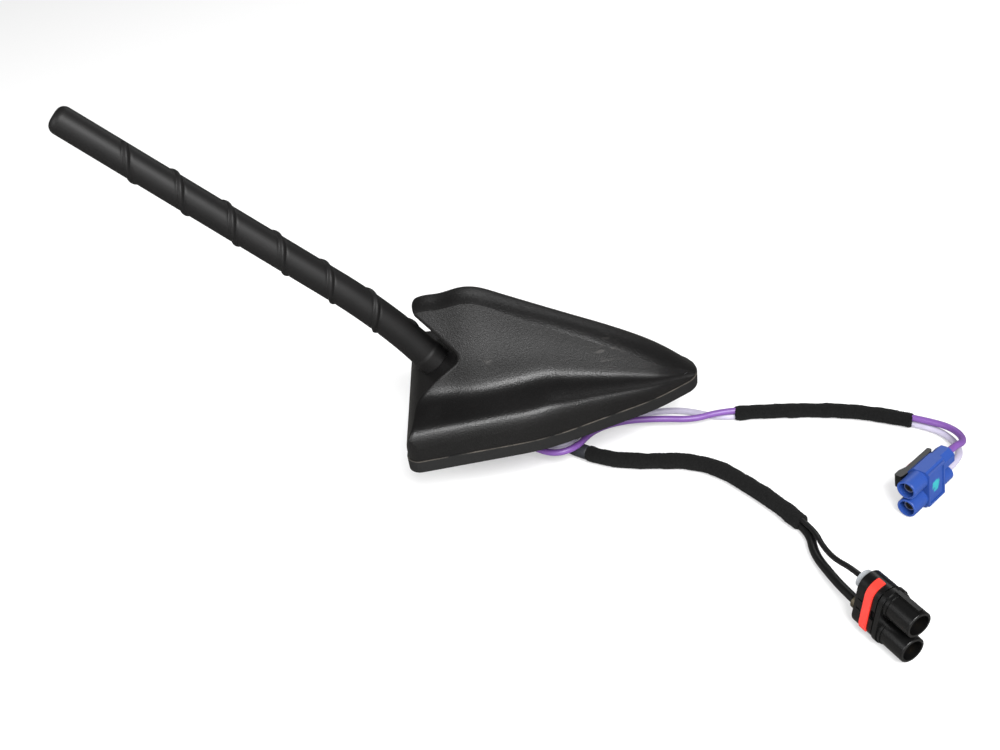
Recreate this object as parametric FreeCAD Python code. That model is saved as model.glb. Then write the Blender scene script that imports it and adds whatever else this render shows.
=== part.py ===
import FreeCAD, Part
import math
import os

# Car roof antenna: a hollow fin on a sealed base, a screwed-in flexible mast,
# and two cable tails that come out of the base beside the fixing stud.
# Millimetres. X points to the nose, Z up. The roof skin is the plane z = 0,
# and the stud stands on the origin.

# Footprint of the base, half widths at named places along X
tail_x = -66.5
tail_half = 38.2
waist_x = -13.4
waist_half = 33.3
cheek_x = 30.0
cheek_half = 17.1
apex_x = 58.3
tail_corner_r = 5.0
flank_r = 80.0
nose_r = 10.3

# Gasket and base plate
pad_t = 2.0
seam_z = 5.0
rim_w = 2.0
cover_step = 0.4
trim_over = 0.15
rib_h = 2.3
rib_t = 1.5
rib_gap = 0.15
neck_r = 11.5
neck_depth = 3.0
neck_gap = 0.2

# Fin
fin_wall = 2.2
peak_x = -35.0
peak_h = 49.0
tail_rise = 0.11
peak_blend = 0.6
nose_fall = 0.85
shoulder_share = 0.27
shoulder_max = 10.0
crease_tail_drop = 1.6
crease_nose_drop = 3.6
crease_half = 6.0
crease_spread = 0.032
section_count = 19
stern_over = 3.5
stern_trim = 0.3
hollow_share = 3.5

# Notch behind the fin: a sloping deck that carries the mast
deck_slope = 34.0
deck_x = -45.5
deck_share = 0.498
notch_x = -42.0
notch_r = 2.5
prong_x = -58.3
prong_tip = 1.4
prong_r = 0.6
deck_roll_r = 13.0
notch_edge_r = 1.5

# Mast
mast_seat_x = -53.2
mast_length = 160.0
mast_collar_r = 6.4
mast_base_r = 6.1
mast_tip_r = 5.2
mast_tip_round = 3.0
mast_flex = 11.4
mast_flex_reach = 22.0
mast_straight_below = 6.0
socket_r = 4.6
socket_depth = 10.0
socket_wall = 2.5
thread_r = 2.45
thread_reach = 8.0

# Spiral rib on the mast, measured along the mast from its seat and its tip
spiral_pitch = 20.2
spiral_tip_gap = 19.1
spiral_seat_gap = 27.8
spiral_h = 0.6
spiral_top = 1.2
spiral_foot = 2.0
spiral_root = 0.5
spiral_steps = 8
spiral_phase = math.radians(-75.0)

# Fixing stud
stud_r = 4.0
stud_shank_r = 4.6
stud_drop = 18.0
stud_chamfer = 0.8
stud_head_r = 7.5
stud_head_t = 1.6

# Cable grommet
gland_x = -30.0
gland_r = 8.5
grommet_lip = 1.2
grommet_lip_t = 0.8

# Screws, as centre places on the plate
cover_screw_spots = [(-53.0, 25.0), (-53.0, -25.0), (22.0, 9.0), (22.0, -9.0)]
cover_screw_r = 1.25
cover_screw_head_r = 2.6
cover_screw_head_t = 1.2
cover_screw_bite = 6.0
cover_boss_r = 3.4
board_screw_spots = [(-37.0, 20.0), (-37.0, -20.0), (8.0, 13.0), (8.0, -13.0)]
board_screw_r = 1.05
board_screw_head_r = 2.2
board_screw_head_t = 1.4
board_screw_bite = 2.6
board_post_r = 2.6
screw_play = 0.25

# Circuit board and what it carries
board_z = 8.0
board_t = 1.6
board_inset = 8.0
board_tail_x = -41.0
board_nose_x = 15.0
patch_side = 15.0
patch_t = 4.0
patch_x = 5.5
can_length = 20.0
can_width = 24.0
can_h = 3.2
can_x = -14.0
blade_t = 1.0
blade_tail_x = -36.0
blade_nose_x = -26.0
blade_headroom = 4.0
spring_t = 0.5
spring_w = 5.0
spring_pad = 6.0
spring_foot = 2.5

# Cables
coax_r = 1.3
thick_r = 1.6
thin_r = 0.95
shrink_r = 2.9
black_sleeve_r = 3.3
blue_sleeve_r = 3.1
bundle_gap = 0.1
coax_depth = 3.0
coax_stub = 6.0
wire_depth = 1.5
wire_stub = 4.5
bend_share = 0.45

# Ends of the sleeves: the number of a cable's run, and the share of that run
shrink_from_share = (4, 0.5)
shrink_to_share = (5, 0.5)
black_sleeve_share = (11, 0.7)
blue_sleeve_from_share = (10, 0.5)
blue_sleeve_to_share = (14, 0.62)

# Blue twin coax connector, its back face on the cable side
blue_place = (121.8, -61.5)
blue_heading = -140.5
blue_roll = 6.7
blue_lift = 0.5
blue_length = 11.0
blue_width = 8.0
blue_height = 15.1
blue_pitch = 7.7
blue_tube_r = 3.5
blue_mouth_r = 2.8
blue_front = 7.9
blue_back = 6.4
blue_floor_t = 2.0
blue_edge = 0.6
blue_slope = 2.0
blue_rear_flat = 7.0
blue_rear_r = 3.1
blue_slot_w = 1.2
blue_slot_h = 0.8
blue_slot_gap = 1.5
plate_t = 0.8
plate_inset = 0.8
plate_rim = 0.9
plate_sink = 0.35
rim_r = 0.3
shell_r = 1.9
shell_wall = 0.35
shell_short = 2.0
pin_r = 0.45
clip_length = 20.0
clip_height = 5.0
clip_t = 2.2
clip_lift = 0.4
clip_raise = 2.6
clip_back = 1.0
clip_pad = 3.2
clip_pad_length = 6.0
clip_corner_r = 0.7
lock_spot = 3.0
lock_spot_t = 0.8

# Black twin power connector, its back face on the cable side
black_place = (77.8, -116.4)
black_heading = -65.7
black_roll = -8.0
black_lift = 0.1
black_body = 10.5
black_half = 4.9
black_low = 5.3
black_pitch = 10.2
black_flange = 1.6
black_flange_step = 0.4
black_tube_r = 4.5
black_tube = 10.0
black_mouth_r = 3.6
black_mouth_depth = 12.0
black_key_w = 1.6
black_key_h = 0.9
black_pin_r = 1.2
black_pin_short = 4.0
black_collar_step = 0.35
black_collar = 1.2
black_groove = 0.35
black_groove_sink = 0.5
black_pocket_w = 1.4
black_pocket_h = 3.6
black_pocket_sink = 0.8
black_slit_w = 2.0
black_slit_h = 0.5
lock_x = 3.6
lock_w = 2.8
lock_t = 1.5
lock_proud = 0.5
lock_open = -0.8
lock_drop = 2.6
seal_r = 3.2
seal_out = 2.6
seal_in = 3.0
ferrule_r = 2.4
ferrule_out = 3.5
ferrule_in = 3.0

floor_z = -stud_drop
UP = FreeCAD.Vector(0, 0, 1)


def vec(x, y, z):
    return FreeCAD.Vector(x, y, z)


def cylinder(radius, low, high, x=0.0, y=0.0):
    return Part.makeCylinder(radius, high - low, vec(x, y, low))


def rod(radius, start, end):
    return Part.makeCylinder(radius, (end - start).Length, start, end - start)


def block(x_low, x_high, y_low, y_high, z_low, z_high):
    return Part.makeBox(x_high - x_low, y_high - y_low, z_high - z_low, vec(x_low, y_low, z_low))


def union(shapes):
    return shapes[0].multiFuse(shapes[1:]).removeSplitter()


def rounding(before, corner, after, radius):
    """Tangent points and middle of the arc that rounds one corner."""
    back = (before - corner).normalize()
    ahead = (after - corner).normalize()
    half = back.getAngle(ahead) / 2
    reach = radius / math.tan(half)
    bisector = (back + ahead).normalize()
    middle = corner + bisector * (radius / math.sin(half) - radius)
    return corner + back * reach, middle, corner + ahead * reach


def rounded_loop(corners, radii):
    """Closed wire of straight sides, with each corner rounded by its radius."""
    count = len(corners)
    arcs = []
    for i in range(count):
        before, corner, after = corners[i - 1], corners[i], corners[(i + 1) % count]
        arcs.append(rounding(before, corner, after, radii[i]) if radii[i] else (corner,) * 3)
    edges = []
    for i in range(count):
        start, middle, end = arcs[i]
        if radii[i]:
            edges.append(Part.Arc(start, middle, end).toShape())
        edges.append(Part.makeLine(end, arcs[(i + 1) % count][0]))
    return Part.Wire(edges)


# Footprint outline and the prisms made from it

flank_corners = [
    vec(tail_x, tail_half, 0), vec(waist_x, waist_half, 0),
    vec(cheek_x, cheek_half, 0), vec(apex_x, 0, 0),
]
mirrored = [vec(p.x, -p.y, 0) for p in flank_corners[:3]]
outline = rounded_loop(
    flank_corners + mirrored[::-1],
    [tail_corner_r, flank_r, flank_r, nose_r, flank_r, flank_r, tail_corner_r],
)
apex_half_angle = math.atan2(cheek_half, apex_x - cheek_x)
nose_x = apex_x - nose_r / math.sin(apex_half_angle) + nose_r


def footprint(inset, low, high):
    """Prism of the base outline, drawn in by inset."""
    wire = outline.makeOffset2D(-inset) if inset else outline
    prism = Part.Face(wire).extrude(vec(0, 0, high - low))
    prism.translate(vec(0, 0, low))
    return prism


def flank_half(x):
    """Half width of the outline at x, before the stern and nose corners are rounded."""
    for i in (1, 2):
        start, middle, end = rounding(*flank_corners[i - 1:i + 2], flank_r)
        if start.x <= x <= end.x:
            centre = Part.Circle(start, middle, end).Center
            return centre.y + math.sqrt(flank_r ** 2 - (x - centre.x) ** 2)
    for start, end in zip(flank_corners, flank_corners[1:]):
        if x <= end.x:
            break
    return start.y + (end.y - start.y) * (x - start.x) / (end.x - start.x)


# Fin: one section of it at each place along X, lofted from stern to nose

def ridge_height(x):
    """Height of the ridge over the seam: a straight back that blends into the long front fall."""
    back = peak_h + tail_rise * (x - peak_x)
    run = max(0.0, (x - peak_x) / (nose_x - peak_x))
    front = peak_h * (1 - nose_fall * run - (1 - nose_fall) * run ** 6)
    return 0.5 * (back + front - math.hypot(back - front, 2 * peak_blend))


def spline_edge(poles):
    curve = Part.BSplineCurve()
    curve.buildFromPoles(poles, False, 3)
    return curve.toShape()


def fin_section(x, wall, foot_z):
    """Closed section in the plane of x: skirt, shoulder, concave sweep, flank, crease and crown."""
    height = max(0.4, ridge_height(x))
    half = flank_half(x) - cover_step - wall + trim_over
    drop_share = min(1.0, max(0.0, (x - peak_x) / -peak_x))
    drop = min(crease_tail_drop + (crease_nose_drop - crease_tail_drop) * drop_share, 0.28 * height)
    rise = min(shoulder_max, shoulder_share * height)
    shoulder = seam_z + rise - 0.6 * wall
    ridge = seam_z + height - 1.12 * wall
    crease_z = ridge - drop * (1 - 0.1 * wall / fin_wall)
    crease_y = min(crease_half + crease_spread * (x - prong_x), 0.6 * (half + wall)) - 0.8 * wall
    foot = shoulder + 0.75 * rise - 0.2 * wall
    foot_y = crease_y + 0.3 * (crease_z - foot)
    sweep = half - foot_y
    lift = rise / 10.4
    tall = crease_z - foot
    profile = [
        (half, foot_z),
        (half, shoulder - 0.45 * rise),
        (half - 0.2, shoulder + 1.7 * lift),
        (half - 0.22 * sweep, shoulder + 3.6 * lift),
        (half - 0.62 * sweep, shoulder + 3.9 * lift),
        (half - 0.95 * sweep, shoulder + 6.0 * lift),
        (0.97 * foot_y, foot + 0.3 * tall),
        (crease_y + 0.35 * (foot_y - crease_y), crease_z - 0.35 * tall),
        (crease_y, crease_z),
    ]
    right = [vec(x, y, z) for y, z in profile]
    left = [vec(x, -y, z) for y, z in profile]
    crown_z = ridge + 0.35 * drop
    crown = [right[-1], vec(x, 0.45 * crease_y, crown_z), vec(x, -0.45 * crease_y, crown_z), left[-1]]
    return Part.Wire([
        Part.makeLine(left[0], right[0]),
        spline_edge(right),
        spline_edge(crown),
        spline_edge(left[::-1]),
    ])


def fin_body(wall):
    """Solid fin drawn in by a wall, trimmed to the footprint. Drawn in, it ends before the low nose."""
    foot_z = seam_z - neck_depth
    start = tail_x - stern_over
    step = (nose_x - start) / (section_count - 1)
    stations = [start + i * step for i in range(section_count)]
    tall = [x for x in stations if ridge_height(x) >= hollow_share * wall - peak_blend]
    sections = [fin_section(x, wall, foot_z) for x in tall]
    loft = Part.makeLoft(sections, True, False, False, 3)
    return loft.common(footprint(cover_step + wall, seam_z, seam_z + 2 * peak_h))


# Notch tool: the space behind the fin, drawn as a profile in the mid plane

deck_z = seam_z + deck_share * peak_h
deck_rise = math.tan(math.radians(deck_slope))
deck_dir = vec(math.cos(math.radians(deck_slope)), 0, math.sin(math.radians(deck_slope)))
deck_normal = vec(-deck_dir.z, 0, deck_dir.x)


def deck_point(x):
    return vec(x, 0, deck_z + deck_rise * (x - deck_x))


def notch_tool(grow):
    """Everything behind the fin and over the deck, grown into the fin by a wall."""
    stern = tail_x + cover_step + stern_trim
    vertex = deck_point(notch_x)
    tip = vec(prong_x, 0, seam_z + ridge_height(prong_x) - prong_tip)
    above = seam_z + 2 * peak_h
    behind = 2 * tail_x
    roll = deck_point(stern)
    loop = rounded_loop(
        [vertex, roll, vec(stern, 0, pad_t), vec(behind, 0, pad_t),
         vec(behind, 0, above), vec(prong_x, 0, above), tip],
        [notch_r, deck_roll_r, 0, 0, 0, 0, prong_r],
    )
    if grow:
        loop = loop.makeOffset2D(grow)
    slab = Part.Face(loop).extrude(vec(0, 4 * tail_half, 0))
    slab.translate(vec(0, -2 * tail_half, 0))
    return slab


# Mast: seat, short bend and straight run in the mid plane

seat = deck_point(mast_seat_x)
bend_corner = seat + deck_normal * (mast_straight_below + mast_flex_reach)
rise_angle = math.radians(90 - deck_slope - mast_flex)
mast_dir = vec(-math.cos(rise_angle), 0, math.sin(rise_angle))
bend_start = bend_corner - deck_normal * mast_flex_reach
bend_end = bend_corner + mast_dir * mast_flex_reach
bend_r = mast_flex_reach / math.tan(math.radians(mast_flex) / 2)
bend_length = bend_r * math.radians(mast_flex)
tip_end = bend_end + mast_dir * (mast_length - mast_straight_below - bend_length)


def mast_place(s):
    """Point and direction of the mast's axis, s along it from the seat."""
    if s <= mast_straight_below:
        return seat + deck_normal * s, deck_normal
    if s >= mast_straight_below + bend_length:
        return bend_end + mast_dir * (s - mast_straight_below - bend_length), mast_dir
    turned = (s - mast_straight_below) / bend_r
    side = vec(-deck_normal.z, 0, deck_normal.x)
    point = bend_start + deck_normal * (bend_r * math.sin(turned)) + side * (bend_r * (1 - math.cos(turned)))
    return point, deck_normal * math.cos(turned) + side * math.sin(turned)


def mast_radius(s):
    return mast_base_r + (mast_tip_r - mast_base_r) * s / mast_length


def mast_solid():
    """Straight foot, bend lofted from circles, tapered shaft and a rounded flat tip."""
    bend_s = mast_straight_below + bend_length
    neck_s = mast_length - mast_tip_round
    rings = []
    for i in range(5):
        s = mast_straight_below + bend_length * i / 4
        point, heading = mast_place(s)
        rings.append(Part.Wire(Part.Circle(point, heading, mast_radius(s)).toShape()))
    bend = Part.makeLoft(rings, True, False)
    foot = Part.makeCylinder(mast_collar_r, mast_straight_below, seat, deck_normal)
    rims = [e for e in foot.Edges if e.isClosed() and (e.CenterOfMass - bend_start).Length < 0.01]
    foot = foot.makeFillet(mast_collar_r - mast_base_r, rims)
    shaft = Part.makeCone(mast_radius(bend_s), mast_radius(neck_s), neck_s - bend_s, bend_end, mast_dir)
    cap = Part.makeCylinder(mast_radius(neck_s), mast_tip_round, mast_place(neck_s)[0], mast_dir)
    rims = [e for e in cap.Edges if e.isClosed() and (e.CenterOfMass - tip_end).Length < 0.01]
    cap = cap.makeFillet(0.98 * mast_tip_round, rims)
    return union([foot, bend, shaft, cap])


def rib_place(s):
    """Point on the mast's skin where the rib passes, and the direction out of the skin."""
    point, heading = mast_place(s)
    angle = 2 * math.pi * (mast_length - spiral_tip_gap - s) / spiral_pitch + spiral_phase
    out = vec(heading.z, 0, -heading.x) * math.cos(angle) + vec(0, -1, 0) * math.sin(angle)
    return point + out * mast_radius(s), out


def spiral_rib():
    """Low rib with sloping sides, swept along a curve that winds round the mast."""
    reach = mast_length - spiral_tip_gap - spiral_seat_gap
    count = round(spiral_steps * reach / spiral_pitch)
    stations = [mast_length - spiral_tip_gap - reach * i / count for i in range(count + 1)]
    curve = Part.BSplineCurve()
    curve.interpolate([rib_place(s)[0] for s in stations])
    start, out = rib_place(stations[0])
    ahead = curve.tangent(curve.FirstParameter)[0]
    across = ahead.cross(out).normalize()
    out = across.cross(ahead).normalize()
    flare = (spiral_foot - spiral_top) / 2 * spiral_root / spiral_h
    root = spiral_foot / 2 + flare
    crest = spiral_top / 2
    corners = [(-root, -spiral_root), (root, -spiral_root), (crest, spiral_h), (-crest, spiral_h)]
    loop = [start + across * w + out * h for w, h in corners]
    return Part.Wire(curve.toShape()).makePipeShell([Part.makePolygon(loop + loop[:1])], True, True)


mast_hole = rod(thread_r, seat, seat + deck_normal * thread_reach)
mast = mast_solid().fuse(spiral_rib()).cut(mast_hole).removeSplitter()
socket_end = seat - deck_normal * socket_depth
socket_floor = seat - deck_normal * thread_reach
mast_socket = rod(socket_r, socket_end, seat).cut(rod(thread_r, socket_floor, seat))
mast_stud = rod(thread_r, socket_floor, seat + deck_normal * thread_reach)

# Cover: fin shell with a boss for the mast socket and posts for the screws

def notched_fin():
    """Outer form of the fin with its notch, and the notch's side edges rounded."""
    tool = notch_tool(0.0)
    fin = fin_body(0.0).cut(tool).removeSplitter()
    sides = []
    for edge in fin.Edges:
        middle = edge.valueAt((edge.FirstParameter + edge.LastParameter) / 2)
        on_tool = tool.Shells[0].distToShape(Part.Vertex(middle))[0] < 0.002
        if on_tool and edge.BoundBox.YMin * edge.BoundBox.YMax > 0:
            sides.append(edge)
    return fin.makeFillet(notch_edge_r, sides)


rib_inset = cover_step + fin_wall + rib_gap


def base_rib(grow):
    """Locating rib that stands on the base plate, grown on all sides by a gap."""
    top = seam_z + rib_h + grow
    return footprint(rib_inset - grow, seam_z, top).cut(footprint(rib_inset + rib_t + grow, seam_z, top))


fin_solid = notched_fin()
fin_space = fin_body(fin_wall).cut(notch_tool(fin_wall))
socket_boss = rod(socket_r + socket_wall, socket_end, seat + deck_normal * socket_depth)
posts = [cylinder(cover_boss_r, seam_z, seam_z + peak_h, x, y) for x, y in cover_screw_spots]
inside_pieces = union([socket_boss] + posts).common(fin_solid)
screw_top = seam_z + cover_screw_bite
cover = fin_solid.cut(fin_space).fuse(inside_pieces)
cover = cover.cut(rod(socket_r, socket_end, seat + deck_normal))
for x, y in cover_screw_spots:
    cover = cover.cut(cylinder(cover_screw_r, seam_z - 1, screw_top, x, y))
cover = cover.cut(base_rib(rib_gap)).removeSplitter()

# Gasket: flat pad with a cut-out round the neck, and a rim up to the seam


def neck_loop(radius, low, high):
    """Obround prism round the stud and the cable outlet."""
    bridge = block(gland_x, 0, -radius, radius, low, high)
    return union([cylinder(radius, low, high, gland_x), bridge, cylinder(radius, low, high)])


gasket = footprint(0, 0, seam_z).cut(footprint(rim_w, pad_t, seam_z))
gasket = gasket.cut(neck_loop(neck_r + neck_gap, 0, pad_t))

# Base plate: casting with a neck through the roof, a locating rib and posts

base_plate = footprint(rim_w, pad_t, seam_z)
rib = base_rib(0.0)
neck = neck_loop(neck_r, -neck_depth, pad_t)
board_posts = [cylinder(board_post_r, seam_z, board_z, x, y) for x, y in board_screw_spots]
base_plate = union([base_plate, rib, neck] + board_posts)
for x, y in cover_screw_spots:
    base_plate = base_plate.cut(cylinder(cover_screw_r + screw_play, pad_t, seam_z, x, y))
    head_pocket = cylinder(cover_screw_head_r + screw_play, pad_t, pad_t + cover_screw_head_t, x, y)
    base_plate = base_plate.cut(head_pocket)
for x, y in board_screw_spots:
    base_plate = base_plate.cut(cylinder(board_screw_r, board_z - board_screw_bite, board_z, x, y))
base_plate = base_plate.cut(cylinder(gland_r, -neck_depth, seam_z, gland_x))
base_plate = base_plate.cut(cylinder(stud_shank_r, -neck_depth, seam_z))

# Stud, pressed through the plate from above

stud_tip = Part.makeCone(stud_r - stud_chamfer, stud_r, stud_chamfer, vec(0, 0, floor_z))
roof_stud = union([
    stud_tip,
    cylinder(stud_r, floor_z + stud_chamfer, -neck_depth),
    cylinder(stud_shank_r, -neck_depth, seam_z),
    cylinder(stud_head_r, seam_z, seam_z + stud_head_t),
])

# Screws

cover_screws = Part.makeCompound([
    cylinder(cover_screw_r, pad_t + cover_screw_head_t, screw_top, x, y).fuse(
        cylinder(cover_screw_head_r, pad_t, pad_t + cover_screw_head_t, x, y)).removeSplitter()
    for x, y in cover_screw_spots
])
board_top = board_z + board_t
board_screws = Part.makeCompound([
    cylinder(board_screw_r, board_z - board_screw_bite, board_top, x, y).fuse(
        cylinder(board_screw_head_r, board_top, board_top + board_screw_head_t, x, y)).removeSplitter()
    for x, y in board_screw_spots
])

# Circuit board and its parts

circuit_board = footprint(board_inset, board_z, board_top)
circuit_board = circuit_board.common(
    block(board_tail_x, board_nose_x, -tail_half, tail_half, board_z, board_top))
for x, y in board_screw_spots:
    circuit_board = circuit_board.cut(cylinder(board_screw_r + screw_play, board_z, board_top, x, y))
patch_half = patch_side / 2
gps_patch = block(patch_x - patch_half, patch_x + patch_half, -patch_half, patch_half,
                  board_top, board_top + patch_t)
shield_can = block(can_x - can_length / 2, can_x + can_length / 2, -can_width / 2, can_width / 2,
                   board_top, board_top + can_h)
blade_corners = [vec(blade_tail_x, -blade_t / 2, board_top), vec(blade_nose_x, -blade_t / 2, board_top)]
for x in (blade_nose_x, blade_tail_x):
    blade_corners.append(vec(x, -blade_t / 2, seam_z + ridge_height(x) - fin_wall - blade_headroom))
phone_blade = Part.Face(Part.makePolygon(blade_corners + blade_corners[:1])).extrude(vec(0, blade_t, 0))


def strip(start, end, thickness, side):
    """Flat spring strip between two points of the mid plane, thick to one side."""
    shift = side * thickness
    corners = [start, end, end + shift, start + shift]
    slab = Part.Face(Part.makePolygon(corners + corners[:1])).extrude(vec(0, spring_w, 0))
    slab.translate(vec(0, -spring_w / 2, 0))
    return slab


pad_low = socket_end - deck_dir * (spring_pad / 2)
pad_high = socket_end + deck_dir * (spring_pad / 2)
foot_back = vec(board_tail_x, 0, board_top)
foot_front = vec(board_tail_x + spring_foot, 0, board_top)
leg_top = pad_high - deck_dir * spring_t
contact_spring = union([
    strip(pad_low, pad_high, spring_t, deck_normal * -1),
    strip(foot_back, leg_top - deck_normal * spring_t, spring_t, deck_dir),
    strip(foot_back, foot_front, spring_t, UP),
])

# Cables: each route is a list of points, with every corner rounded


class Route:
    """Straight runs joined by arcs as large as the runs allow."""

    def __init__(self, name, points):
        self.points = [vec(*p) for p in points]
        self.arcs = [None]
        radii = []
        for i in range(1, len(points) - 1):
            before, corner, after = self.points[i - 1:i + 2]
            shorter = min((corner - before).Length, (after - corner).Length)
            turn = (corner - before).getAngle(after - corner)
            radius = bend_share * shorter / math.tan(turn / 2)
            radii.append(round(radius, 1))
            self.arcs.append(rounding(before, corner, after, radius))
        print(name, "bend radii", radii)

    def along(self, run, share):
        return self.points[run] + (self.points[run + 1] - self.points[run]) * share

    def wire(self, start, end, lift=0.0):
        """Path from one (run, share) to another, raised by lift."""
        here = self.along(*start)
        edges = []
        for arc in self.arcs[start[0] + 1:end[0] + 1]:
            edges.append(Part.makeLine(here, arc[0]))
            edges.append(Part.Arc(*arc).toShape())
            here = arc[2]
        edges.append(Part.makeLine(here, self.along(*end)))
        path = Part.Wire(edges)
        path.translate(vec(0, 0, lift))
        return path

    def whole(self):
        return self.wire((0, 0.0), (len(self.points) - 2, 1.0))


def tube(path, radius):
    """Round tube swept along a path."""
    first = path.OrderedEdges[0]
    start = first.valueAt(first.FirstParameter)
    ahead = first.tangentAt(first.FirstParameter)
    ring = Part.Wire(Part.Circle(start, ahead, radius).toShape())
    return path.makePipeShell([ring], True, False)


black_z = floor_z + black_sleeve_r
bundle_half = thick_r + thin_r + bundle_gap / 2
thick_z = black_z - bundle_half + thick_r
thin_z = black_z + bundle_half - thin_r
blue_z = floor_z + blue_sleeve_r
violet_z = blue_z + coax_r + bundle_gap / 2
white_z = blue_z - coax_r - bundle_gap / 2
low_blue = (blue_height - blue_pitch) / 2
high_blue = low_blue + blue_pitch
low_black = black_low
high_black = low_black + black_pitch


def laid(place, heading, roll, lift):
    """Frame of a connector: rolled about its own length, then turned on the floor."""
    turn = FreeCAD.Rotation(UP, heading).multiply(FreeCAD.Rotation(vec(1, 0, 0), roll))
    return FreeCAD.Placement(vec(*place, floor_z + lift), turn)


blue_frame = laid(blue_place, blue_heading, blue_roll, blue_lift)
black_frame = laid(black_place, black_heading, black_roll, black_lift)


def behind(frame, distance, way):
    """Point on the axis of one way, at a distance behind the connector's back face."""
    return frame.multVec(vec(-distance, 0, way))


black_run = [(-10.3, -9.0), (-2.4, -17.2), (9.4, -25.8), (23.6, -29.7), (37.5, -31.8),
             (48.9, -38.3), (57.9, -50.6), (65.9, -63.3)]
blue_run = [(55.5, -6.0), (69.4, -6.8), (84.5, -9.1), (99.4, -12.1), (113.6, -17.1)]

thick_route = Route("cable_thick", [
    (-26.8, 0.8, board_z), (-26.8, 0.8, -5.6), (-24.6, -0.5, -11.0), (-18.6, -3.9, thick_z),
    *[(x, y, thick_z) for x, y in black_run],
    (72.6, -77.3, thick_z), (71.2, -87.2, thick_z - 0.2), (72.9, -97.5, -14.6),
    behind(black_frame, ferrule_out + wire_stub, low_black), behind(black_frame, -wire_depth, low_black),
])
thin_route = Route("cable_thin", [
    (-23.9, -0.6, board_z), (-23.9, -0.6, -4.4), (-21.8, -1.8, -8.9), (-16.8, -5.0, thin_z),
    *[(x, y, thin_z) for x, y in black_run],
    (73.55, -79.3, thin_z), (73.4, -88.0, -11.5), (74.0, -98.8, -7.5),
    behind(black_frame, seal_out + wire_stub, high_black), behind(black_frame, -wire_depth, high_black),
])
violet_route = Route("coax_violet", [
    (-33.6, -3.6, board_z), (-33.6, -3.6, -5.4), (-30.8, -6.9, -9.4), (-21.6, -16.4, -10.0),
    (-12.2, -24.5, -9.8), (-2.9, -22.6, -9.4), (4.8, -10.8, -10.8), (17.7, -5.5, -12.2),
    (32.4, -6.1, -13.0), (45.2, -8.7, violet_z),
    *[(x, y, violet_z) for x, y in blue_run],
    (134.0, -29.4, violet_z), (138.4, -37.0, -12.4), (137.2, -46.4, -10.0),
    behind(blue_frame, blue_back + coax_stub, high_blue), behind(blue_frame, blue_back - coax_depth, high_blue),
])
white_route = Route("coax_white", [
    (-31.4, -1.3, board_z), (-31.4, -1.3, -5.4), (-28.7, -4.5, -9.4), (-19.7, -13.7, -10.0),
    (-11.3, -20.9, -9.6), (-4.2, -18.8, -9.2), (3.5, -6.9, -11.2), (17.4, -0.4, -15.0),
    (31.1, 3.4, white_z), (43.9, 1.6, white_z),
    *[(x, y, white_z) for x, y in blue_run],
    (132.4, -28.4, white_z), (137.2, -36.6, white_z), (136.8, -45.6, -15.6),
    behind(blue_frame, blue_back + coax_stub, low_blue), behind(blue_frame, blue_back - coax_depth, low_blue),
])

cable_thick = tube(thick_route.whole(), thick_r)
cable_thin = tube(thin_route.whole(), thin_r)
coax_violet = tube(violet_route.whole(), coax_r)
coax_white = tube(white_route.whole(), coax_r)

# Shrink tube and fleece-tape sleeves round the cables, cut to let the cables through

black_wires = [cable_thick, cable_thin]
blue_wires = [coax_violet, coax_white]
heat_shrink = tube(thick_route.wire(shrink_from_share, shrink_to_share, black_z - thick_z), shrink_r)
heat_shrink = heat_shrink.cut(Part.makeCompound(black_wires))
sleeve_black = tube(thick_route.wire(shrink_to_share, black_sleeve_share, black_z - thick_z), black_sleeve_r)
sleeve_black = sleeve_black.cut(Part.makeCompound(black_wires))
sleeve_blue = tube(violet_route.wire(blue_sleeve_from_share, blue_sleeve_to_share, blue_z - violet_z), blue_sleeve_r)
sleeve_blue = sleeve_blue.cut(Part.makeCompound(blue_wires))

# Rubber grommet in the neck, with one hole for each cable

cable_grommet = union([
    cylinder(gland_r + grommet_lip, -neck_depth - grommet_lip_t, -neck_depth, gland_x),
    cylinder(gland_r, -neck_depth, seam_z, gland_x),
    cylinder(gland_r + grommet_lip, seam_z, seam_z + grommet_lip_t, gland_x),
]).cut(Part.makeCompound(black_wires + blue_wires))


def placed(shape, frame):
    """Move a connector's piece, built along X, to where the connector lies."""
    shape.Placement = frame
    return shape


def along_x(radius, start, end, y, z):
    return rod(radius, vec(start, y, z), vec(end, y, z))


# Blue connector: two coax ways, one over the other

blue_ways = [low_blue, high_blue]
blue_tip = blue_length + blue_front
blue_side = blue_width / 2
core_face = blue_side - plate_t


def rounded_tube(radius, start, end, z):
    """Tube end along X, with its front rim rounded."""
    tube_body = along_x(radius, start, end, 0, z)
    rims = [e for e in tube_body.Edges if e.isClosed() and e.BoundBox.XMin > end - rim_r]
    return tube_body.makeFillet(rim_r, rims)


def chamfered_core():
    """Block of the housing: small chamfers along X, and a slope over the clip."""
    core = block(0, blue_length, -blue_side, core_face, 0, blue_height)
    along = [e for e in core.Edges if e.BoundBox.XLength > blue_length / 2]
    sloped = [e for e in along if e.BoundBox.YMax < 0 and e.BoundBox.ZMin > blue_height / 2]
    core = core.makeChamfer(blue_slope, sloped)
    plain = [e for e in core.Edges if e.BoundBox.XLength > blue_length / 2 and e.BoundBox.YMin > 0]
    return core.makeChamfer(blue_edge, plain)


def octagon(flat, start, end, z):
    """Eight-sided prism along X."""
    radius = flat / 2 / math.cos(math.pi / 8)
    turns = [math.pi / 8 + i * math.pi / 4 for i in range(8)]
    corners = [vec(start, radius * math.cos(a), z + radius * math.sin(a)) for a in turns]
    return Part.Face(Part.makePolygon(corners + corners[:1])).extrude(vec(end - start, 0, 0))


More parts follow.
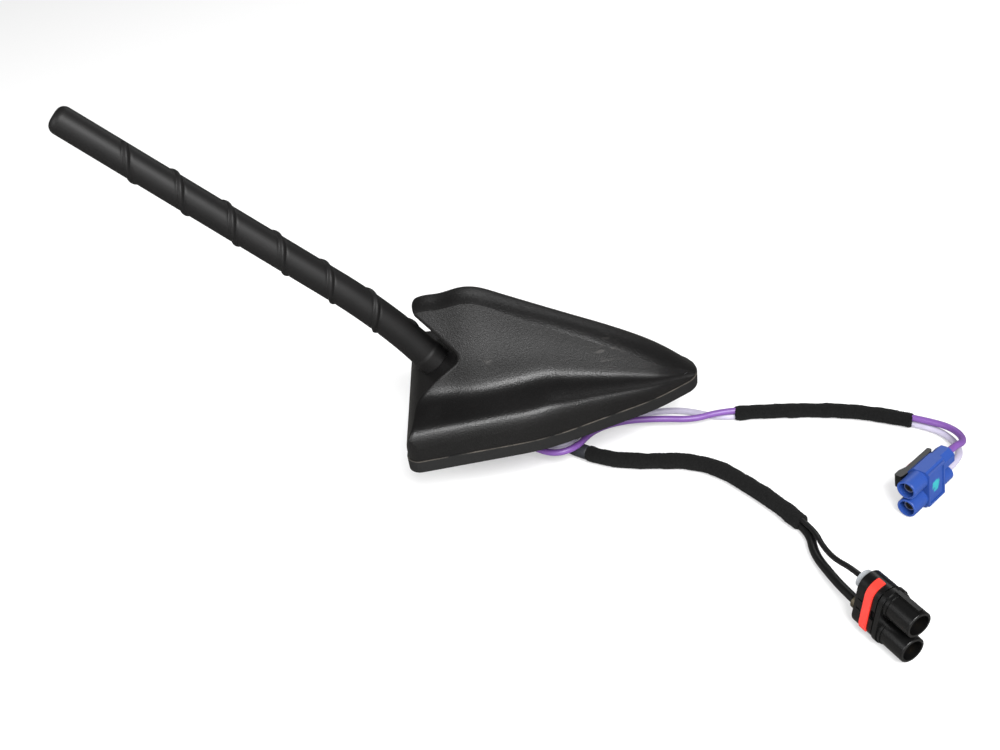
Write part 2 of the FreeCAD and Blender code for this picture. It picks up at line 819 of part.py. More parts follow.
side_plate = block(plate_inset, blue_length, core_face, blue_side, plate_inset, blue_height - plate_inset)
plate_hollow = block(plate_inset + plate_rim, blue_length - plate_rim, blue_side - plate_sink, blue_side,
                     plate_inset + plate_rim, blue_height - plate_inset - plate_rim)
rear_top = high_blue + blue_rear_flat / 2
rear_slot = block(-blue_back / 2, 0, -blue_slot_gap - blue_slot_w, -blue_slot_gap,
                  rear_top - blue_slot_h, rear_top)
blue_housing = union([
    chamfered_core(),
    side_plate,
    octagon(blue_rear_flat, -blue_back, blue_length, high_blue).cut(rear_slot),
    along_x(blue_rear_r, -blue_back, blue_length, 0, low_blue),
    *[rounded_tube(blue_tube_r, blue_length / 2, blue_tip, z) for z in blue_ways],
]).cut(plate_hollow)
shell_start = -blue_back + coax_depth
shell_end = blue_tip - shell_short
cavity_start = blue_length - blue_floor_t
blue_shells = []
blue_insulators = []
blue_pins = []
for z in blue_ways:
    blue_housing = blue_housing.cut(along_x(blue_mouth_r, cavity_start, blue_tip, 0, z))
    blue_housing = blue_housing.cut(along_x(shell_r, shell_start, cavity_start, 0, z))
    blue_housing = blue_housing.cut(along_x(coax_r, -blue_back, shell_start, 0, z))
    bore = along_x(shell_r - shell_wall, shell_start, shell_end, 0, z)
    pin = along_x(pin_r, shell_start, shell_end - shell_short / 2, 0, z)
    blue_shells.append(along_x(shell_r, shell_start, shell_end, 0, z).cut(bore))
    filler = along_x(shell_r - shell_wall, shell_start, shell_end - shell_short, 0, z)
    blue_insulators.append(filler.cut(pin))
    blue_pins.append(pin)
clip_y = -blue_side
clip_z = blue_height / 2 + clip_raise
clip_start = blue_length / 2 - clip_length / 2 - clip_back
clip_end = clip_start + clip_length
clip_profile = [
    (blue_length, clip_y), (0, clip_y), (clip_start, clip_y - clip_lift), (clip_start, clip_y - clip_t),
    (clip_end - clip_pad_length, clip_y - clip_t), (clip_end - clip_pad_length / 2, clip_y - clip_pad),
    (clip_end, clip_y - clip_pad), (clip_end, clip_y - clip_lift),
]
clip_loop = rounded_loop(
    [vec(x, y, clip_z - clip_height / 2) for x, y in clip_profile],
    [0, 0, clip_corner_r, clip_corner_r, clip_corner_r, clip_corner_r, clip_corner_r, clip_corner_r],
)
blue_clip = Part.Face(clip_loop).extrude(vec(0, 0, clip_height))
spot_x = blue_length / 2
spot_y = clip_y - clip_t
blue_clip_lock = block(spot_x - lock_spot / 2, spot_x + lock_spot / 2, spot_y - lock_spot_t, spot_y,
                       clip_z - lock_spot / 2, clip_z + lock_spot / 2)

# Black connector: two power ways in one obround body, locked by a red band

black_ways = [low_black, high_black]


def obround(half, start, end):
    """Prism along X round both ways."""
    low, high = black_ways
    bridge = block(start, end, -half, half, low, high)
    return union([along_x(half, start, end, 0, low), bridge, along_x(half, start, end, 0, high)])


black_tip = black_body + black_tube
lock_end = lock_x + lock_w
lock_band = obround(black_half + lock_proud, lock_x, lock_end).cut(
    obround(black_half + lock_proud - lock_t, lock_x, lock_end))
lock_reach = 2 * black_half
black_lock = lock_band.common(block(lock_x, lock_end, -lock_reach, lock_open, low_black - lock_drop,
                                    high_black + lock_reach))
flange_start = black_body - black_flange
key_top = high_black + black_tube_r + black_key_h
groove_start = flange_start - 2 * black_groove
groove = obround(black_half, groove_start, groove_start + black_groove).cut(
    obround(black_half - black_groove_sink, groove_start, groove_start + black_groove))
middle_z = black_low + black_pitch / 2
pocket_start = lock_end + black_groove
near_face = -black_half
pocket = block(pocket_start, pocket_start + black_pocket_w, near_face, near_face + black_pocket_sink,
               middle_z - black_pocket_h / 2, middle_z + black_pocket_h / 2)
slits = [block(black_slit_w / 2, 1.5 * black_slit_w, near_face, near_face + black_slit_h,
               z - black_slit_h / 2, z + black_slit_h / 2)
         for z in (middle_z - black_pocket_h / 2, middle_z + black_pocket_h / 2)]
black_housing = union([
    obround(black_half, 0, flange_start),
    obround(black_half + black_flange_step, flange_start, black_body),
    *[along_x(black_tube_r + black_collar_step, black_body, black_body + black_collar, 0, z) for z in black_ways],
    *[rounded_tube(black_tube_r, black_body, black_tip, z) for z in black_ways],
    block(black_body, black_tip - black_key_h, -black_key_w / 2, black_key_w / 2, high_black, key_top),
]).cut(Part.makeCompound([black_lock, groove, pocket] + slits))
mouth_start = black_tip - black_mouth_depth
black_pins = []
for z in black_ways:
    black_housing = black_housing.cut(along_x(black_mouth_r, mouth_start, black_tip, 0, z))
    black_housing = black_housing.cut(along_x(black_pin_r, wire_depth, mouth_start, 0, z))
    black_pins.append(along_x(black_pin_r, wire_depth, black_tip - black_pin_short, 0, z))
crimp_ferrule = along_x(ferrule_r, -ferrule_out, ferrule_in, 0, low_black)
crimp_ferrule = crimp_ferrule.cut(along_x(thick_r, -ferrule_out, wire_depth, 0, low_black))
crimp_ferrule = crimp_ferrule.cut(along_x(black_pin_r, wire_depth, ferrule_in, 0, low_black))
wire_seal = along_x(seal_r, -seal_out, seal_in, 0, high_black)
wire_seal = wire_seal.cut(along_x(thin_r, -seal_out, wire_depth, 0, high_black))
wire_seal = wire_seal.cut(along_x(black_pin_r, wire_depth, seal_in, 0, high_black))
black_housing = black_housing.cut(along_x(ferrule_r, 0, ferrule_in, 0, low_black))
black_housing = black_housing.cut(along_x(seal_r, 0, seal_in, 0, high_black))

blue_nodes = {
    "blue_housing": blue_housing,
    "blue_shells": Part.makeCompound(blue_shells),
    "blue_insulators": Part.makeCompound(blue_insulators),
    "blue_pins": Part.makeCompound(blue_pins),
    "blue_clip": blue_clip,
    "blue_clip_lock": blue_clip_lock,
}
black_nodes = {
    "black_housing": black_housing,
    "black_lock": black_lock,
    "black_pins": Part.makeCompound(black_pins),
    "crimp_ferrule": crimp_ferrule,
    "wire_seal": wire_seal,
}

nodes = {
    "gasket": gasket,
    "base_plate": base_plate,
    "roof_stud": roof_stud,
    "cable_grommet": cable_grommet,
    "cover": cover,
    "cover_screws": cover_screws,
    "circuit_board": circuit_board,
    "board_screws": board_screws,
    "gps_patch": gps_patch,
    "shield_can": shield_can,
    "phone_blade": phone_blade,
    "mast_socket": mast_socket,
    "contact_spring": contact_spring,
    "mast": mast,
    "mast_stud": mast_stud,
    "coax_violet": coax_violet,
    "coax_white": coax_white,
    "cable_thick": cable_thick,
    "cable_thin": cable_thin,
    "sleeve_blue": sleeve_blue,
    "sleeve_black": sleeve_black,
    "heat_shrink": heat_shrink,
}
nodes.update({name: placed(shape, blue_frame) for name, shape in blue_nodes.items()})
nodes.update({name: placed(shape, black_frame) for name, shape in black_nodes.items()})

os.makedirs("parts", exist_ok=True)
for name, shape in nodes.items():
    box = shape.BoundBox
    print(name, "solids", len(shape.Solids), "valid", shape.isValid(), "volume", round(shape.Volume, 1),
          "box", [round(v, 1) for v in (box.XMin, box.YMin, box.ZMin, box.XMax, box.YMax, box.ZMax)])
    shape.exportStep("parts/" + name + ".step")
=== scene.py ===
# %% [markdown]
# # A car roof antenna
# The object is a hollow black fin on a sealed base, with a short flexible mast
# and two cable tails that end in twin connectors. The solids come from the
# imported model. This lesson adds what solids lack: the finishes, a mast whose
# spiral rib has soft edges, smooth cables, and the fleece tape round them.

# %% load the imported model
import math
import bpy
import numpy as np
from mathutils import Matrix, Vector


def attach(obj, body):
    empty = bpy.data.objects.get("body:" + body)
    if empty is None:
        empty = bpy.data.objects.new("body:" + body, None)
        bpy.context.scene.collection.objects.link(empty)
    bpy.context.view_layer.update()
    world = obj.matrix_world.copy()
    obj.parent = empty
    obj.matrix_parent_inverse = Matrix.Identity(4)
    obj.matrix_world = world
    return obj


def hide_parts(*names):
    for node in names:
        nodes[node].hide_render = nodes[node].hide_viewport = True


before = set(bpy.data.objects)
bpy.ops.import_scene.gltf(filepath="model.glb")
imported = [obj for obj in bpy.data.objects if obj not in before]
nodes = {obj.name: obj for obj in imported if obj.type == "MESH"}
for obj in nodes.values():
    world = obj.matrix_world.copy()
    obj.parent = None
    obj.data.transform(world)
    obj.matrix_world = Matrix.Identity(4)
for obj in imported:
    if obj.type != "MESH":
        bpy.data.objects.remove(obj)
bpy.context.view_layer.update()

MM = 0.001
print("nodes:", len(nodes))

# %% [markdown]
# ## Camera
# The photograph looks down at about 34 degrees from the side of the fin, with
# the antenna tipped a little, so the camera is rolled. Its three directions
# were measured from the picture, and they go straight into a matrix.

# %% camera
eye = np.array([-11.0, -343.7, 245.9]) * MM
right = np.array([0.9909, -0.0357, -0.1297])
upward = np.array([0.1273, 0.5597, 0.8188])
backward = np.cross(right, upward)
camera = bpy.data.objects.new("camera", bpy.data.cameras.new("camera"))
bpy.context.scene.collection.objects.link(camera)
camera.data.sensor_width = 36.0
camera.data.lens = 37.8
camera.data.clip_start = 0.01
turned = np.eye(4)
turned[:3] = np.stack([right, upward, backward, eye], axis=1)
camera.matrix_world = Matrix(turned.tolist())
bpy.context.scene.camera = camera
bpy.context.scene.view_settings.view_transform = "Standard"
print("camera at", np.round(eye, 3))

# %% [markdown]
# ## Helpers for materials
# Colours are written as sRGB hex values, as a colour picker shows them, and
# Blender's shaders want linear light. Nodes are added by one function, which
# takes a node's own settings and what feeds each of its sockets. The small
# functions after it each stand for one kind of node and give back its output.

# %% colour and node helpers
def linear(hex_colour):
    """Each sRGB channel c becomes ((c + 0.055) / 1.055) ** 2.4, or c / 12.92 when it is very dark."""
    c = np.array([int(hex_colour[i:i + 2], 16) for i in (1, 3, 5)]) / 255
    return (*np.where(c > 0.04045, ((c + 0.055) / 1.055) ** 2.4, c / 12.92).tolist(), 1.0)


def add(tree, kind, feeds=None, **settings):
    """Adds one node. A feed is a plain value, or another node's output socket to link."""
    node = tree.nodes.new(kind)
    for name, value in settings.items():
        setattr(node, name, value)
    for socket, value in (feeds or {}).items():
        if isinstance(value, bpy.types.NodeSocket):
            tree.links.new(value, node.inputs[socket])
        else:
            node.inputs[socket].default_value = value
    return node


def new_material(name):
    """An empty material, its node tree, and its Object coordinates in metres."""
    material = bpy.data.materials.new(name)
    material.use_nodes = True
    tree = material.node_tree
    tree.nodes.clear()
    place = add(tree, "ShaderNodeTexCoord").outputs["Object"]
    return material, tree, place


def surface(tree, feeds):
    """A Principled shader wired to the material's output."""
    shader = add(tree, "ShaderNodeBsdfPrincipled", feeds)
    add(tree, "ShaderNodeOutputMaterial", {"Surface": shader.outputs[0]})


def noise(tree, place, size, detail, roughness=0.5):
    """Noise from 0 to 1 whose lumps are about size millimetres across."""
    return add(tree, "ShaderNodeTexNoise", {"Vector": place, "Scale": 1 / (size * MM), "Detail": detail,
                                            "Roughness": roughness}).outputs["Fac"]


def between(tree, value, start, end, low=0.0, high=1.0):
    """Goes from low to high while value goes from start to end, and stays level outside them."""
    return add(tree, "ShaderNodeMapRange", {"Value": value, "From Min": start, "From Max": end,
                                            "To Min": low, "To Max": high}).outputs["Result"]


def combine(tree, operation, first, second):
    """One sum on two numbers, such as MULTIPLY or MAXIMUM."""
    return add(tree, "ShaderNodeMath", {0: first, 1: second}, operation=operation).outputs[0]


def blend(tree, share, first, second):
    """Colour that goes from first to second while share goes from 0 to 1."""
    return add(tree, "ShaderNodeMix", {"Factor": share, "A": first, "B": second},
               data_type="RGBA").outputs["Result"]


def ramp(tree, share, dark, light):
    """Colour ramp between two hex colours."""
    node = add(tree, "ShaderNodeValToRGB", {"Fac": share})
    node.color_ramp.elements[0].color = linear(dark)
    node.color_ramp.elements[1].color = linear(light)
    return node.outputs["Color"]


def bumps(tree, height, strength, depth):
    """Normal of a surface whose bumps are depth millimetres deep at full strength."""
    return add(tree, "ShaderNodeBump", {"Height": height, "Strength": strength,
                                        "Distance": depth * MM}).outputs["Normal"]


def near(tree, place, centre, reach):
    """1 at a point of the part, falling to 0 at reach millimetres from it."""
    away = add(tree, "ShaderNodeVectorMath", {0: place, 1: [v * MM for v in centre]}, operation="DISTANCE")
    return between(tree, away.outputs["Value"], 0.0, reach * MM, 1.0, 0.0)


def paint(material, *names):
    """Gives each named node this material."""
    for name in names:
        nodes[name].data.materials.clear()
        nodes[name].data.materials.append(material)


print("middle grey in linear light:", np.round(linear("#808080"), 4))

# %% [markdown]
# ## Floor and light
# The antenna lies on a plain white table. A floor that only diffuses would be
# grey wherever the lamps are weak, so it shows part of its white directly to
# the eye, and it diffuses the rest, which keeps the soft shadow. To mirror-like
# rays the floor and the sky are darker than to the eye: black plastic shows
# little but reflections, and a white room would turn it grey. For the same
# reason the lamps are large, so that their reflections are broad and soft.

# %% floor
floor_z = -18.0 * MM
floor_half = 4.0
direct_white = 0.42
floor_mesh = bpy.data.meshes.new("floor")
floor_corners = [(x * floor_half, y * floor_half, floor_z) for x, y in ((-1, -1), (1, -1), (1, 1), (-1, 1))]
floor_mesh.from_pydata(floor_corners, [], [(0, 1, 2, 3)])
floor = bpy.data.objects.new("floor", floor_mesh)
bpy.context.scene.collection.objects.link(floor)
paper, tree, _ = new_material("white paper")
rays = add(tree, "ShaderNodeLightPath").outputs
seen = combine(tree, "MAXIMUM", rays["Is Camera Ray"], rays["Is Transmission Ray"])
white = add(tree, "ShaderNodeEmission", {"Color": linear("#fdfdfd"), "Strength": 1.0})
shade = blend(tree, rays["Is Glossy Ray"], linear("#f6f6f6"), linear("#646361"))
dull = add(tree, "ShaderNodeBsdfDiffuse", {"Color": shade})
mixed = add(tree, "ShaderNodeMixShader", {0: combine(tree, "MULTIPLY", seen, direct_white),
                                          1: dull.outputs[0], 2: white.outputs[0]})
add(tree, "ShaderNodeOutputMaterial", {"Surface": mixed.outputs[0]})
floor_mesh.materials.append(paper)
print("floor at", floor_z)

# %% world and lamps
sky_strength, sky_in_reflections = 0.6, 0.05
world = bpy.data.worlds.new("studio")
bpy.context.scene.world = world
world.use_nodes = True
tree = world.node_tree
tree.nodes.clear()
glossy = add(tree, "ShaderNodeLightPath").outputs["Is Glossy Ray"]
level = between(tree, glossy, 0.0, 1.0, sky_strength, sky_in_reflections)
sky = add(tree, "ShaderNodeBackground", {"Color": linear("#ffffff"), "Strength": level})
add(tree, "ShaderNodeOutputWorld", {"Surface": sky.outputs[0]})


def lamp(name, place, target, size, watts):
    """A rectangular soft box at place, facing target."""
    light = bpy.data.lights.new(name, "AREA")
    light.shape = "RECTANGLE"
    light.size, light.size_y = size
    light.energy = watts
    box = bpy.data.objects.new(name, light)
    box.location = place
    box.rotation_euler = (Vector(target) - Vector(place)).to_track_quat("-Z", "Y").to_euler()
    bpy.context.scene.collection.objects.link(box)


lamp("key", place=(0.25, -0.75, 0.85), target=(0, 0, 0), size=(0.6, 0.45), watts=20.0)
lamp("front", place=(0.1, -1.1, 0.22), target=(0, 0, 0.03), size=(1.0, 0.3), watts=3.6)
lamp("fill", place=(-0.8, -0.4, 0.5), target=(0, 0, 0.02), size=(0.6, 0.6), watts=4.0)
lamp("rim", place=(0.3, 0.9, 0.7), target=(0, 0, 0.02), size=(0.8, 0.4), watts=2.0)

# %% [markdown]
# ## Cables
# Four cables leave the base through one rubber grommet. Two thin coax cables,
# violet over white, go to the blue connector. A thick and a thin black cable
# go to the black connector. Each is a NURBS curve whose control points are
# the route's own points: such a curve is pulled towards them and never has a
# kink, as a real cable never has.

# %% routes of the cables
# Lengths are in millimetres here. The two cables of a pair lie one over the other.
thick_r, thin_r, coax_r = 1.6, 0.95, 1.3
black_z, blue_z = -14.7, -14.9
thick_z, thin_z = -15.7, -13.05
coax_apart = 1.35
violet_z, white_z = blue_z + coax_apart, blue_z - coax_apart
blue = {"place": (121.8, -61.5), "heading": math.radians(-140.5), "roll": math.radians(6.7), "lift": 0.5}
black = {"place": (77.8, -116.4), "heading": math.radians(-65.7), "roll": math.radians(-8.0), "lift": 0.1}
low_blue, high_blue, low_black, high_black = 3.7, 11.4, 5.3, 15.5


def laid(connector, along, across, up):
    """A connector's own point: rolled about its length, turned to its heading, and set on the table."""
    heading, roll = connector["heading"], connector["roll"]
    side = across * math.cos(roll) - up * math.sin(roll)
    height = across * math.sin(roll) + up * math.cos(roll)
    x = connector["place"][0] + along * math.cos(heading) - side * math.sin(heading)
    y = connector["place"][1] + along * math.sin(heading) + side * math.cos(heading)
    return x, y, floor_z / MM + connector["lift"] + height


black_run = [(-10.3, -9.0), (-2.4, -17.2), (9.4, -25.8), (23.6, -29.7), (37.5, -31.8),
             (48.9, -38.3), (57.9, -50.6), (65.9, -63.3)]
blue_run = [(55.5, -6.0), (69.4, -6.8), (84.5, -9.1), (99.4, -12.1), (113.6, -17.1)]
thick_route = [
    (-26.8, 0.8, 8.0), (-26.8, 0.8, -5.6), (-24.6, -0.5, -11.0), (-18.6, -3.9, thick_z),
    *[(x, y, thick_z) for x, y in black_run],
    (72.6, -77.3, thick_z), (71.2, -87.2, thick_z - 0.2), (72.9, -97.5, -14.6),
    laid(black, -8.0, 0, low_black), laid(black, 1.5, 0, low_black)]
thin_route = [
    (-23.9, -0.6, 8.0), (-23.9, -0.6, -4.4), (-21.8, -1.8, -8.9), (-16.8, -5.0, thin_z),
    *[(x, y, thin_z) for x, y in black_run],
    (73.55, -79.3, thin_z), (73.4, -88.0, -11.5), (74.0, -98.8, -7.5),
    laid(black, -7.1, 0, high_black), laid(black, 1.5, 0, high_black)]
violet_route = [
    (-33.6, -3.6, 8.0), (-33.6, -3.6, -5.4), (-30.8, -6.9, -9.4), (-21.6, -16.4, -10.0),
    (-12.2, -24.5, -9.8), (-2.9, -22.6, -9.4), (4.8, -10.8, -10.8), (17.7, -5.5, -12.2),
    (32.4, -6.1, -13.0), (45.2, -8.7, violet_z),
    *[(x, y, violet_z) for x, y in blue_run],
    (134.0, -29.4, violet_z), (138.4, -37.0, -12.4), (137.2, -46.4, -10.0),
    laid(blue, -12.4, 0, high_blue), laid(blue, -3.4, 0, high_blue)]
white_route = [
    (-31.4, -1.3, 8.0), (-31.4, -1.3, -5.4), (-28.7, -4.5, -9.4), (-19.7, -13.7, -10.0),
    (-11.3, -20.9, -9.6), (-4.2, -18.8, -9.2), (3.5, -6.9, -11.2), (17.4, -0.4, -15.0),
    (31.1, 3.4, white_z), (43.9, 1.6, white_z),
    *[(x, y, white_z) for x, y in blue_run],
    (132.4, -28.4, white_z), (137.2, -36.6, white_z), (136.8, -45.6, -15.6),
    laid(blue, -12.4, 0, low_blue), laid(blue, -3.4, 0, low_blue)]
print("points:", [len(r) for r in (thick_route, thin_route, violet_route, white_route)])

# %% cables as curves
def cable(name, node, route, radius):
    """A NURBS curve of order 3 on the route's points. Each point's radius scales a round bevel of 1 m."""
    curve = bpy.data.curves.new(name, "CURVE")
    curve.dimensions = "3D"
    spline = curve.splines.new("NURBS")
    points = np.ones((len(route), 4))
    points[:, :3] = np.array(route) * MM
    spline.points.add(len(route) - 1)
    spline.points.foreach_set("co", points.ravel())
    spline.points.foreach_set("radius", np.full(len(route), radius * MM))
    spline.order_u = 3
    spline.use_endpoint_u = True
    curve.resolution_u = 16
    piece = bpy.data.objects.new(name, curve)
    bpy.context.scene.collection.objects.link(piece)
    line = bpy.data.meshes.new_from_object(piece)
    centre = np.zeros(len(line.vertices) * 3)
    line.vertices.foreach_get("co", centre)
    curve.bevel_depth = 1.0
    curve.bevel_resolution = 6
    curve.use_fill_caps = True
    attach(piece, "root")
    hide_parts(node)
    centre = centre.reshape(-1, 3)
    length = np.linalg.norm(np.diff(centre, axis=0), axis=1).sum()
    print(name, "length", round(length, 4))
    return piece, centre, length


thick, thick_line, thick_length = cable("thick_cable", "cable_thick", thick_route, thick_r)
thin, _, thin_length = cable("thin_cable", "cable_thin", thin_route, thin_r)
violet, violet_line, violet_length = cable("violet_coax", "coax_violet", violet_route, coax_r)
pale, _, pale_length = cable("white_coax", "coax_white", white_route, coax_r)

# %% [markdown]
# ## Tape sleeves and shrink tube
# Fleece tape is wound round each pair of cables with half of its width
# overlapping, so a sleeve is not a clean tube: each turn ends in a low step
# that runs round it as a spiral, and the felt is a little lumpy. The surface
# is a ring carried along the cable's own line, with its radius given by a
# function of the distance along the line and the angle round it.

# %% surface helpers
def round_angles(columns):
    """Even angles of one full turn."""
    return np.linspace(0, 2 * np.pi, columns, endpoint=False)


def grid_mesh(name, points):
    """Closed mesh of a grid of points: rows along the piece, and columns round it joined into rings."""
    rows, columns = points.shape[:2]
    i, j = np.meshgrid(np.arange(rows - 1), np.arange(columns), indexing="ij")
    k = (j + 1) % columns
    corners = [i * columns + j, i * columns + k, (i + 1) * columns + k, (i + 1) * columns + j]
    faces = np.stack(corners, axis=-1).reshape(-1, 4).tolist()
    faces.append(list(range(columns))[::-1])
    faces.append(list(range((rows - 1) * columns, rows * columns)))
    mesh = bpy.data.meshes.new(name)
    mesh.from_pydata(points.reshape(-1, 3).tolist(), [], faces)
    mesh.polygons.foreach_set("use_smooth", np.ones(len(mesh.polygons), bool))
    mesh.validate()
    return mesh


def new_piece(name, mesh, slot, *replaced):
    """Puts a finished mesh into the scene as a piece that rides on the antenna."""
    piece = bpy.data.objects.new(name, mesh)
    bpy.context.scene.collection.objects.link(piece)
    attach(piece, "root")
    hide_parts(*replaced)
    print(name, "faces", len(mesh.polygons))
    return piece


def stretch(line, start, end, count):
    """Even points on a line between the places nearest to two given points, and the way walked to each."""
    a = np.argmin(np.linalg.norm(line - np.array(start) * MM, axis=1))
    b = np.argmin(np.linalg.norm(line - np.array(end) * MM, axis=1))
    part = line[a:b + 1]
    walked = np.concatenate([[0], np.cumsum(np.linalg.norm(np.diff(part, axis=0), axis=1))])
    even = np.linspace(0, walked[-1], count)
    return np.stack([np.interp(even, walked, part[:, c]) for c in range(3)], axis=1), even


def ring_sweep(line, radius):
    """Points line + radius * (cos a * side + sin a * up), with side level and up square to the line."""
    ahead = np.gradient(line, axis=0)
    ahead /= np.linalg.norm(ahead, axis=1, keepdims=True)
    side = np.cross(ahead, [0.0, 0.0, 1.0])
    side /= np.linalg.norm(side, axis=1, keepdims=True)
    up = np.cross(side, ahead)
    angle = round_angles(radius.shape[1])
    around = np.cos(angle)[None, :, None] * side[:, None] + np.sin(angle)[None, :, None] * up[:, None]
    return line[:, None] + radius[:, :, None] * around


def lumps(even, columns, seed, size, height):
    """Smooth unevenness: a sum of waves of random phase along and around, about size long and height tall."""
    random = np.random.default_rng(seed)
    angle = round_angles(columns)
    total = np.zeros((len(even), columns))
    for turns in range(5):
        for wave in (0.6, 1.0, 1.7):
            phase = random.uniform(0, 2 * np.pi)
            along = 2 * np.pi * wave * even[:, None] / size
            total += np.cos(turns * angle[None] + along + phase) / (1 + turns)
    return height * total / 4


# %% tape sleeves
tape_rows, tape_columns = 420, 40
turn_length, turn_step, step_edge = 9.5 * MM, 0.14 * MM, 0.04
felt_thinner, felt_fuzz = 0.3, 0.05 * MM
felt_lump, felt_lump_height = 11 * MM, 0.16 * MM
end_length, end_draw = 1.2 * MM, 0.16


def tape_sleeve(name, node, line, start, end, lift, radius, seed):
    """Fleece tape: radius + a saw-tooth step along the spiral of its turns + lumps, drawn in at both ends."""
    path, even = stretch(line, start, end, tape_rows)
    path = path + np.array([0, 0, lift * MM])
    turn = (even[:, None] / turn_length + round_angles(tape_columns)[None] / (2 * np.pi)) % 1
    step = turn_step * np.clip((1 - turn) * 1.1, 0, 1) * np.clip(turn / step_edge, 0, 1)
    fuzz = np.random.default_rng(seed).normal(0, felt_fuzz, (len(even), tape_columns))
    uneven = lumps(even, tape_columns, seed, felt_lump, felt_lump_height)
    size = (radius - felt_thinner) * MM + step + uneven + fuzz
    closing = np.minimum(even, even[-1] - even)[:, None] / end_length
    size = size * (1 - end_draw * np.clip(1 - closing, 0, 1) ** 2)
    return new_piece(name, grid_mesh(name, ring_sweep(path, size)), "fleece_tape", node)


tube_end = (1.5, -20.2, thick_z)
black_sleeve = tape_sleeve("black_tape_sleeve", "sleeve_black", thick_line, tube_end,
                           (70.6, -73.1, thick_z), black_z - thick_z, radius=3.3, seed=3)
blue_sleeve = tape_sleeve("blue_tape_sleeve", "sleeve_blue", violet_line, (62.45, -6.4, violet_z),
                          (126.25, -24.7, violet_z), blue_z - violet_z, radius=3.1, seed=5)

# %% shrink tube
tube_r, tube_rows, tube_columns, tube_seed = 2.85 * MM, 80, 32, 7
tube_lump, tube_lump_height = 8 * MM, 0.05 * MM
shrink_path, shrink_even = stretch(thick_line, (-14.4, -6.5, thick_z), tube_end, tube_rows)
shrink_path = shrink_path + np.array([0, 0, (black_z - thick_z) * MM])
shrink_size = tube_r + lumps(shrink_even, tube_columns, tube_seed, tube_lump, tube_lump_height)
shrink = new_piece("shrink_tube", grid_mesh("shrink_tube", ring_sweep(shrink_path, shrink_size)),
                   "shrink_tube", "heat_shrink")

# %% [markdown]
# ## Mast
# The mast is a wound wire in a moulded rubber jacket. A thin rib runs round it
# as a spiral, which stops the wind from whistling. On a grid of distance s and
# angle a, the rib is where s / pitch + a / turn is a whole number, so the
# radius is the taper plus a small bump of that fraction.

# %% line of the mast
slope = math.radians(34.0)
deck_x, deck_height, seat_x = -45.5, 29.402, -53.2
seat = np.array([seat_x, 0.0, deck_height + math.tan(slope) * (seat_x - deck_x)]) * MM
stand = np.array([-math.sin(slope), 0.0, math.cos(slope)])
flex, bend_reach, foot = math.radians(11.4), 22.0 * MM, 6.0 * MM
mast_length, tip_round = 160.0 * MM, 3.0 * MM
bend_radius = bend_reach / math.tan(flex / 2)
bend_length = bend_radius * flex


def mast_axis(s):
    """Straight foot, an arc of bend_radius that turns by flex, then straight: points and directions."""
    turned = np.clip((s - foot) / bend_radius, 0, flex)
    lean = np.array([-stand[2], 0.0, stand[0]])
    ahead = np.cos(turned)[:, None] * stand + np.sin(turned)[:, None] * lean
    in_foot = np.minimum(s, foot)[:, None] * stand
    in_bend = bend_radius * (np.sin(turned)[:, None] * stand + (1 - np.cos(turned))[:, None] * lean)
    beyond = np.maximum(s - foot - bend_length, 0)[:, None] * ahead
    return seat + in_foot + in_bend + beyond, ahead


# %% mast with its spiral rib
foot_r, taper_by = 6.1, 0.9
collar_height, collar_from, collar_to = 0.3 * MM, 5.0 * MM, 6.6 * MM
flare_height, flare_from, flare_to = 0.1 * MM, 6 * MM, 16 * MM
tip_rows, tip_first, tip_full = 14, 0.05, 0.998
pitch, spiral_at = 20.2 * MM, 136.9 * MM
spiral_start, spiral_end = (24 * MM, 36 * MM), (139 * MM, 144 * MM)
rib_height, rib_half = 0.62, 0.95
groove_depth, groove_at, groove_half = 0.16, 1.55, 0.35


def smooth(low, high, value):
    """Soft step from 0 at low to 1 at high."""
    t = np.clip((value - low) / (high - low), 0, 1)
    return t * t * (3 - 2 * t)


def mast_surface(rows, columns):
    """A taper, a collar at the foot, a rounded tip, and a rib with a groove on each side."""
    into_round = np.sin(np.linspace(tip_first, np.pi / 2, tip_rows))
    s = np.concatenate([np.linspace(0, mast_length - tip_round, rows),
                        mast_length - tip_round + tip_round * into_round])
    angle = round_angles(columns)
    taper = (foot_r - taper_by * s / mast_length) * MM
    collar = collar_height * (1 - smooth(collar_from, collar_to, s))
    flare = flare_height * (1 - smooth(flare_from, flare_to, s))
    into_tip = np.clip((s - mast_length + tip_round) / tip_round, 0, 1)
    core = taper + (collar + flare) - tip_round * (1 - np.sqrt(1 - tip_full * into_tip ** 2))
    off = (s[:, None] - spiral_at) / pitch + angle[None] / (2 * np.pi)
    off = np.abs(off - np.round(off)) * pitch / MM
    rib = rib_height * np.exp(-(off / rib_half) ** 3)
    rib = rib - groove_depth * np.exp(-((off - groove_at) / groove_half) ** 2)
    along = s[:, None] + angle[None] / (2 * np.pi) * pitch
    present = smooth(*spiral_start, along) * (1 - smooth(*spiral_end, along))
    radius = core[:, None] + rib * present * MM
    points, ahead = mast_axis(s)
    over = np.stack([ahead[:, 2], np.zeros(len(s)), -ahead[:, 0]], axis=1)
    sideways = np.array([0.0, -1.0, 0.0])
    around = np.cos(angle)[None, :, None] * over[:, None] + np.sin(angle)[None, :, None] * sideways
    return points[:, None] + radius[:, :, None] * around


mast_mesh = grid_mesh("ribbed_mast", mast_surface(rows=620, columns=96))
mast = new_piece("ribbed_mast", mast_mesh, "mast_rubber", "mast")

# %% [markdown]
# ## Finishes
# Each finish starts from what the part is made of and how its surface came
# about: moulded plastic has a fine spark-eroded grain, rubber is duller, tape
# is felt, and metal parts are drawn, cast or plated. Sizes of lumps and depths
# of bumps are in millimetres.

